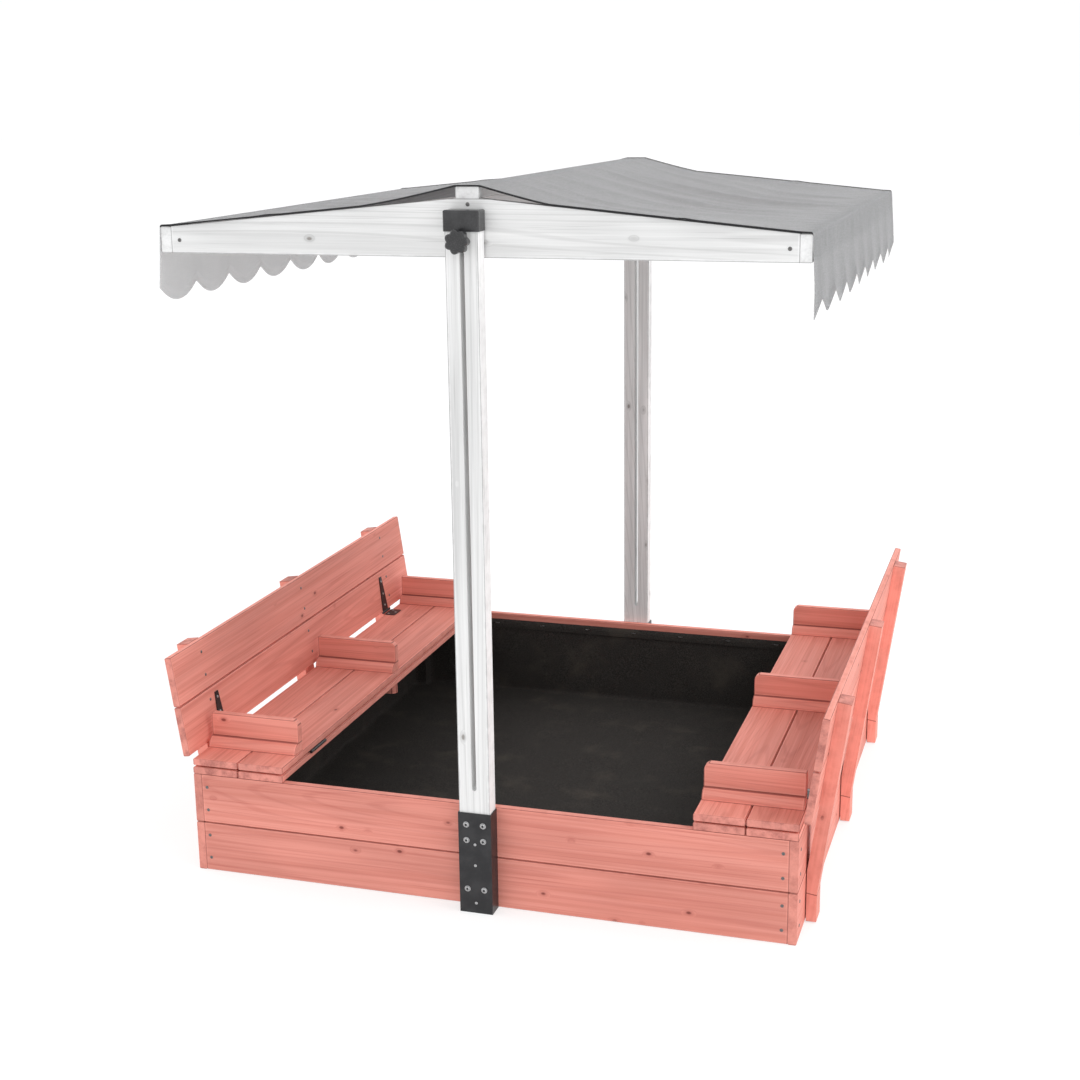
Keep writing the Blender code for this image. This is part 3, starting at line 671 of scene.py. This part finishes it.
def gable_fixings(place, side):
    """The washer between a star knob and its post, and the screws through the gable into the three rails."""
    knob_low, knob_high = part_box(f"star_knob_{place}")
    washer_y = knob_high.y + 0.0002 if side < 0 else knob_low.y - 0.0002
    washer = placed(clamp_washer(), (0, washer_y, CLAMP_Z), (0, -side, 0))
    made(f"clamp_washer_{place}", *washer, zinc, "clamp_carriage", "zinc_steel")
    gable_low, gable_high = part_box(f"gable_{place}")
    face_y = gable_low.y if side < 0 else gable_high.y
    spots = [((x, face_y, z), (0, side, 0)) for x, z in GABLE_SCREW_XZ]
    scatter(f"gable_screws_{place}", screw_head(*GABLE_SCREW), spots, screw_finish_painted_shade, "canopy", "zinc_steel")


def strap_leaves(name, side):
    """The leaves of a bench's strap hinges on its seat, with their knuckles and screws."""
    seat_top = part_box(f"{name}_seat_outer")[1].z
    pivot = joint_at(f"{name}_back_fold")
    leaves, spots = [], []
    for y in STRAP_Y:
        leaves.append(placed(plate(*SEAT_LEAF), (side * SEAT_LEAF_X, y, seat_top)))
        for start, end in SEAT_KNUCKLES:
            leaves.append(moved(barrel(SEAT_KNUCKLE_RADIUS, start, end), (pivot[0], y, pivot[2])))
        for x, dy in SEAT_LEAF_SCREWS:
            spots.append(((side * x, y + dy, seat_top + 0.0015), (0, 0, 1)))
    made(f"{name}_hinge_leaves", *joined(leaves), steel, f"{name}_seat", "black_steel")
    scatter(f"{name}_leaf_screws", screw_head(*LEAF_SCREW), spots, zinc, f"{name}_seat", "zinc_steel")


def back_screws(name, side):
    """The screws of a bench's back: through the boards into the battens, and through the straps."""
    pivot = Matrix.Translation(Vector(joint_at(f"{name}_back_fold")))
    lean = pivot @ Matrix.Rotation(side * BACK_LEAN, 4, "Y")
    inward = (lean.to_3x3() @ Vector((-side, 0, 0)))[:]

    def spots(at_y, heights, face):
        return [((lean @ Vector((side * face, y, z)))[:], inward) for y in at_y for z in heights]

    board = spots(BATTEN_Y, BACK_SCREW_UP, BACK_FACE)
    strap = spots(STRAP_Y, STRAP_SCREW_UP, BACK_FACE - STRAP_THICKNESS)
    scatter(f"{name}_back_screws", screw_head(*BACK_SCREW), board, screw_finish_painted_shade, f"{name}_back", "zinc_steel")
    scatter(f"{name}_strap_screws", screw_head(*STRAP_SCREW), strap, zinc, f"{name}_back", "zinc_steel")


def butt_hinges(name, side):
    """The butt hinges between a bench's deck and seat: a leaf on each, and knuckles in turn."""
    pivot = joint_at(f"{name}_seat_fold")
    deck_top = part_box(f"{name}_deck_inner")[1].z
    seat_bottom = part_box(f"{name}_seat_inner")[0].z
    for half, body, z in (("deck", "box", deck_top), ("seat", f"{name}_seat", seat_bottom - 0.0012)):
        pieces = []
        for y in BUTT_HINGE_Y:
            pieces.append(placed(plate(*BUTT_LEAF), (side * BUTT_LEAF_X, y, z)))
            for start, end in BUTT_KNUCKLES[half]:
                pieces.append(moved(barrel(BUTT_KNUCKLE_RADIUS, start, end), (pivot[0], y, pivot[2])))
        made(f"{name}_butt_hinges_{half}", *joined(pieces), steel, body, "black_steel")


wall_screws()
for place, side in (("front", -1), ("back", 1)):
    bracket_fixings(place, side)
    gable_fixings(place, side)
for name, side in (("left", -1), ("right", 1)):
    strap_leaves(name, side)
    back_screws(name, side)
    butt_hinges(name, side)


# Canopy cloth: one sheet from scallops to scallops over the ridge rail
ridge_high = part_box("ridge_rail")[1]
eave_low, eave_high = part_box("eave_rail_right")
gable_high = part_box("gable_front")[1]
cloth_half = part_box("canopy_fabric")[1].y
cloth_top = ridge_high.z + GAP
rail_top = eave_high.z + OVER_RAIL


def wave(x, y, z=0.0):
    """A smooth noise between about -1 and 1."""
    return noise.noise(Vector((x, y, z)))


def cloth_height(side, x, y):
    """The underside of the cloth between the ridge rail and an eave rail."""
    along = (x - ridge_high.x) / (eave_low.x - ridge_high.x)
    straight = cloth_top + (rail_top - cloth_top) * along
    slope = (eave_high.z - gable_high.z) / (gable_high.x - GABLE_PEAK_HALF)
    on_gable = gable_high.z + OVER_GABLE + slope * (x - GABLE_PEAK_HALF)
    edge_sag = EDGE_SAG[side] * math.sin(math.pi * min(1.0, along / EDGE_SAG_SHARE))
    edge = max(on_gable, straight - edge_sag - EAVE_SAG * along)
    middle = straight - CLOTH_SAG * math.sin(math.pi * along)
    weight = max(0.0, 1.0 - (y / CLOTH_FREE_HALF) ** 2) ** 0.8
    return edge * (1 - weight) + middle * weight


def slope_folds(side, x, y):
    """Long shallow folds of the hanging slope, none at the ridge, the eaves and the gables."""
    along = (x - ridge_high.x) / (eave_low.x - ridge_high.x)
    from_gable = y / CLOTH_FREE_HALF
    free = math.sin(math.pi * min(1.0, max(0.0, along))) ** 0.7 * max(0.0, 1 - from_gable ** 2)
    long_fold = 1 - abs(wave(x * 2.2 + side * 7.3, y * 7.5 + x * side * 2.5, 3.1 * side)) * 2.2
    drift = wave(x * 5.0, y * 3.2, 9.7 + side)
    gather = math.sin(y * 150 + 4 * wave(y * 9, side * 3.0)) * math.exp(-(1 - along) / 0.07) * GATHER_HEIGHT
    folds = FOLD_HEIGHT * max(0.0, long_fold) ** 2 + DRIFT_HEIGHT * drift
    return free * folds + gather * max(0.0, 1 - from_gable ** 8)


def slope_points(side, y):
    """The cloth's line from the middle of the ridge rail to the outer arris of an eave rail: x, z, hem."""
    points = [(0.0, cloth_top, 0), (ridge_high.x * 0.55, cloth_top, 0)]
    points.append((ridge_high.x * 0.93, cloth_top - 0.0001, 0))
    for i in range(SLOPE_STEPS + 1):
        x = ridge_high.x + (eave_low.x - ridge_high.x) * i / SLOPE_STEPS
        points.append((x, cloth_height(side, x, y) + slope_folds(side, x, y), 0))
    for i in range(1, 5):
        bend = math.pi / 2 * i / 4
        x = eave_high.x - EAVE_BEND + (EAVE_BEND + GAP) * math.sin(bend)
        points.append((x, rail_top - EAVE_BEND * (1 - math.cos(bend)), 0))
    return points


def valance_points(side, y, phase):
    """The cloth's line from an eave rail down to the scalloped edge: x, z, hem."""
    turn = math.pi * (phase + (y + cloth_half) / (2 * cloth_half) * SCALLOPS)
    fall = VALANCE_DROP - SCALLOP_HEIGHT * (1 - abs(math.sin(turn))) - EAVE_BEND
    steps = [i / VALANCE_STEPS * (1 - (HEM_WIDTH + 0.001) / fall) for i in range(1, VALANCE_STEPS + 1)]
    steps += [1 - HEM_WIDTH / fall, 1 - HEM_EDGE / fall, 1.0]
    points = []
    for k, part in enumerate(steps):
        ripple = 0.0018 * math.sin(2 * turn + 0.6 * side) + 0.0050 * wave(y * 6.0, part * 1.5, 5.0 * side)
        out = VALANCE_SPLAY * part + (ripple + 0.004) * part ** 1.4
        out += 0.0012 * abs(wave(y * 30.0, part * 4, side)) * (1 - part)
        hem = 1 if k >= VALANCE_STEPS else 0
        x = eave_high.x + GAP + out + hem * HEM_STEP * 0.7
        points.append((x, rail_top - EAVE_BEND - fall * part, hem))
    return points


def cloth_underside():
    """The points of the cloth's underside row by row, how far each is in a hem, and the points in a row."""
    hem_rows = [cloth_half, cloth_half - HEM_EDGE, cloth_half - HEM_WIDTH, cloth_half - HEM_WIDTH - 0.0012]
    inner = hem_rows[-1]
    rows = [-y for y in hem_rows]
    rows += [-inner + 2 * inner * i / CLOTH_ROWS for i in range(1, CLOTH_ROWS)] + hem_rows[::-1]
    verts, hems = [], []
    for y in rows:
        turned_hem = 1.0 if abs(y) > cloth_half - HEM_WIDTH - 0.0003 else 0.0
        halves = []
        for side, phase in ((-1, 0.0), (1, 0.5)):
            points = slope_points(side, y) + valance_points(side, y, phase)
            halves.append([(side * x, z, hem) for x, z, hem in points])
        line = halves[0][:0:-1] + halves[1]
        for x, z, hem in line:
            verts.append(Vector((x, y, z + turned_hem * HEM_STEP * (1 - hem))))
            hems.append(max(turned_hem, float(hem)))
    return verts, hems, len(line)


def thickened(verts, width):
    """The faces of a sheet with a second side above the first, and the points of that side."""
    count = len(verts) // width
    faces = []
    for j in range(count - 1):
        for i in range(width - 1):
            a = j * width + i
            faces.append((a, a + 1, a + 1 + width, a + width))
    mesh = bpy.data.meshes.new("cloth_normals")
    mesh.from_pydata(verts, [], faces)
    mesh.update()
    normals = [v.normal.copy() for v in mesh.vertices]
    bpy.data.meshes.remove(mesh)
    flip = 1.0 if normals[(count // 2) * width + width // 2].z > 0 else -1.0
    upper = [v + n * flip * CLOTH_THICKNESS for v, n in zip(verts, normals)]

    total = len(verts)
    faces += [tuple(i + total for i in reversed(face)) for face in faces]
    rim = list(range(width)) + [j * width + width - 1 for j in range(1, count)]
    rim += [(count - 1) * width + i for i in range(width - 2, -1, -1)]
    rim += [j * width for j in range(count - 2, 0, -1)]
    for i, a in enumerate(rim):
        b = rim[(i + 1) % len(rim)]
        faces.append((a, a + total, b + total, b))
    return faces, upper


def binding(place, side, line):
    """The black binding that covers one free edge of the cloth between the eaves."""
    verts = [Vector((p.x, side * (cloth_half + v), p.z + w)) for p in line for v, w in BINDING]
    faces = rings_to_faces(len(line), len(BINDING))
    return made(f"canopy_binding_{place}", verts, faces, binding_finish, "canopy", "canopy_fabric")


def canopy_cloth():
    verts, hems, width = cloth_underside()
    faces, upper = thickened(verts, width)
    obj = made("canopy_cloth", verts + upper, faces, cloth_finish, "canopy", "canopy_fabric", 75.0)
    above = [0.0] * len(upper)
    masks = {
        "hem": hems + hems,
        # painted shade: the underside of the slopes, between the ridge rail and the eave rails
        "under": [float(abs(v.x) < eave_low.x) for v in verts] + above,
        # painted light: the inner faces of the valances, outside the eave rails
        "valance_inside_painted_light": [float(abs(v.x) > eave_high.x) for v in verts] + above,
    }
    for name, values in masks.items():
        obj.data.attributes.new(name, "FLOAT", "POINT").data.foreach_set("value", values)
    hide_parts("canopy_fabric")
    edges = (("front", -1, verts[:width]), ("back", 1, verts[-width:]))
    bindings = [
        binding(place, side, [p for p in row if abs(p.x) < eave_high.x]) for place, side, row in edges
    ]


canopy_cloth()


# Liner: one sheet over the floor and up the walls, its top edge folded in
skirt_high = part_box("liner_skirt")[1]
LINER_TOP = skirt_high.z
# The folded top edge: distance in from the wall, and height
LINER_FOLD = (
    (0.0010, LINER_TOP - 0.001), (0.0022, LINER_TOP), (0.0034, LINER_TOP - 0.001),
    (0.0042, 0.176), (0.0044, 0.168),
)


def liner_outline():
    """Points round the inside of the walls and corner posts, with the way inwards at each."""
    x, y = skirt_high.x, skirt_high.y
    px, py = x - CORNER_POST, y - CORNER_POST
    corners = [
        (x, -py), (x, py), (px, py), (px, y), (-px, y), (-px, py),
        (-x, py), (-x, -py), (-px, -py), (-px, -y), (px, -y), (px, -py),
    ]
    points = []
    before = Vector((0, -1))
    for i, start in enumerate(corners):
        a, b = Vector(start), Vector(corners[(i + 1) % len(corners)])
        run = b - a
        pieces = max(2, round(run.length / LINER_STEP))
        inward = Vector((-run.y, run.x)).normalized()
        if i % 3 == 2:
            points.append((a, before + inward))
        before = inward
        for k in range(pieces):
            points.append((a + run * ((k + 0.5) / pieces), inward))
    return points


def liner_cloth():
    outline = liner_outline()
    verts = []
    for share in FLOOR_RINGS:
        for p, _ in outline:
            q = p * share
            lift = 0.0035 * max(0.0, wave(q.x * 7, q.y * 7, 2.0))
            lift += 0.0025 * max(0.0, wave(q.x * 19, q.y * 15, 4.0))
            verts.append(Vector((q.x, q.y, LINER_FLOOR + lift)))
    for z in SKIRT_RINGS:
        for p, inward in outline:
            slack = 0.0034 * max(0.0, wave(p.x * 14 + p.y * 11, z * 9, 1.0) + 0.25) * min(1.0, z / 0.05)
            slack += 0.0016 * abs(wave(p.x * 42 - p.y * 37, z * 14, 8.0))
            q = p + inward * (0.0006 + slack * (1 - 0.75 * (z / LINER_TOP) ** 3))
            verts.append(Vector((q.x, q.y, z)))
    for inset, z in LINER_FOLD:
        for p, inward in outline:
            ruffle = 0.0012 * abs(wave(p.x * 30 + p.y * 26, z * 5, 6.0)) if z < LINER_TOP - 0.0005 else 0.0
            q = p + inward * (inset + ruffle)
            verts.append(Vector((q.x, q.y, z)))
    faces = rings_to_faces(len(verts) // len(outline), len(outline), True, False)
    obj = made("liner_cloth", verts, faces, liner_finish, "box", "liner_fabric", 80.0)
    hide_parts("liner_floor", "liner_skirt")


def liner_staples():
    """Wire staples through the folded edge into the walls."""
    wire = [Vector((u, dv, w + dw)) for u, w in STAPLE_WIRE for dv, dw in STAPLE_SECTION]
    faces = rings_to_faces(len(STAPLE_WIRE), len(STAPLE_SECTION))
    from_x, from_y = skirt_high.x - STAPLE_INSET, skirt_high.y - STAPLE_INSET
    copies = []
    for side in (-1, 1):
        for i in range(STAPLES):
            along = -0.48 + STAPLE_PITCH * i
            for at, facing, across in (
                ((along, side * from_y, STAPLE_Z), (0, -side, 0), (1, 0, 0)),
                ((side * from_x, along, STAPLE_Z), (-side, 0, 0), (0, 1, 0)),
            ):
                z_axis, x_axis = Vector(facing), Vector(across)
                turn = Matrix((x_axis, z_axis.cross(x_axis), z_axis)).transposed()
                copies.append(([turn @ v + Vector(at) for v in wire], faces))
    made("liner_staples", *joined(copies), zinc, "box", "zinc_steel")


liner_cloth()
liner_staples()


def studio_floor():
    look = Nodes("studio_floor")
    mottle = look.grains(look.add("TexCoord", out="Object"), 2.0, (0, 0, 0), 3.0)
    signs = ((-1, -1), (1, -1), (1, 1), (-1, 1))
    corners = [(sx * FLOOR_HALF, sy * FLOOR_HALF, -FLOOR_DROP) for sx, sy in signs]
    mesh = bpy.data.meshes.new("studio_floor")
    mesh.from_pydata(corners, [], [(0, 1, 2, 3)])
    mesh.materials.append(look.finish(
        Base_Color=look.mix(mottle, *FLOOR_GREYS), Roughness=0.9, Specular_IOR_Level=0.1,
        Emission_Color=(1.0, 1.0, 1.0, 1.0), Emission_Strength=FLOOR_GLOW,
    ))
    floor = bpy.data.objects.new("studio_floor", mesh)
    bpy.context.scene.collection.objects.link(floor)


def studio_world():
    """A white surround, a little brighter towards the horizon."""
    world = bpy.data.worlds.new("studio")
    world.use_nodes = True
    tree = world.node_tree
    direction = tree.nodes.new("ShaderNodeTexCoord")
    height = tree.nodes.new("ShaderNodeSeparateXYZ")
    level = tree.nodes.new("ShaderNodeMapRange")
    for socket, value in zip(level.inputs[1:5], SKY_RANGE, strict=True):
        socket.default_value = value
    background = tree.nodes["Background"]
    tree.links.new(direction.outputs["Generated"], height.inputs[0])
    tree.links.new(height.outputs[2], level.inputs[0])
    tree.links.new(level.outputs[0], background.inputs["Strength"])
    background.inputs["Color"].default_value = SKY_COLOUR
    bpy.context.scene.world = world


def soft_light(name, at, target, size, power):
    data = bpy.data.lights.new(name, "AREA")
    data.shape = "SQUARE"
    data.size = size
    data.energy = power
    obj = bpy.data.objects.new(name, data)
    obj.location = at
    obj.rotation_euler = (Vector(target) - Vector(at)).to_track_quat("-Z", "Y").to_euler()
    bpy.context.scene.collection.objects.link(obj)


def studio_camera():
    yaw, pitch, roll = (math.radians(a) for a in (CAMERA_YAW, CAMERA_PITCH, CAMERA_ROLL))
    ahead = Vector((-math.sin(yaw) * math.cos(pitch), math.cos(yaw) * math.cos(pitch), -math.sin(pitch)))
    level_right = Vector((math.cos(yaw), math.sin(yaw), 0))
    level_up = level_right.cross(ahead)
    right = level_right * math.cos(roll) + level_up * math.sin(roll)
    up = level_up * math.cos(roll) - level_right * math.sin(roll)
    data = bpy.data.cameras.new("camera")
    data.sensor_width = SENSOR
    data.lens = CAMERA_LENS
    camera = bpy.data.objects.new("camera", data)
    turn = Matrix((right, up, -ahead)).transposed().to_4x4()
    camera.matrix_world = Matrix.Translation(Vector(CAMERA_AT)) @ turn
    bpy.context.scene.collection.objects.link(camera)
    bpy.context.scene.camera = camera


bpy.context.scene.view_settings.view_transform = "Standard"
studio_floor()
studio_world()
for light, setting in LIGHTS.items():
    soft_light(light, *setting)
studio_camera()
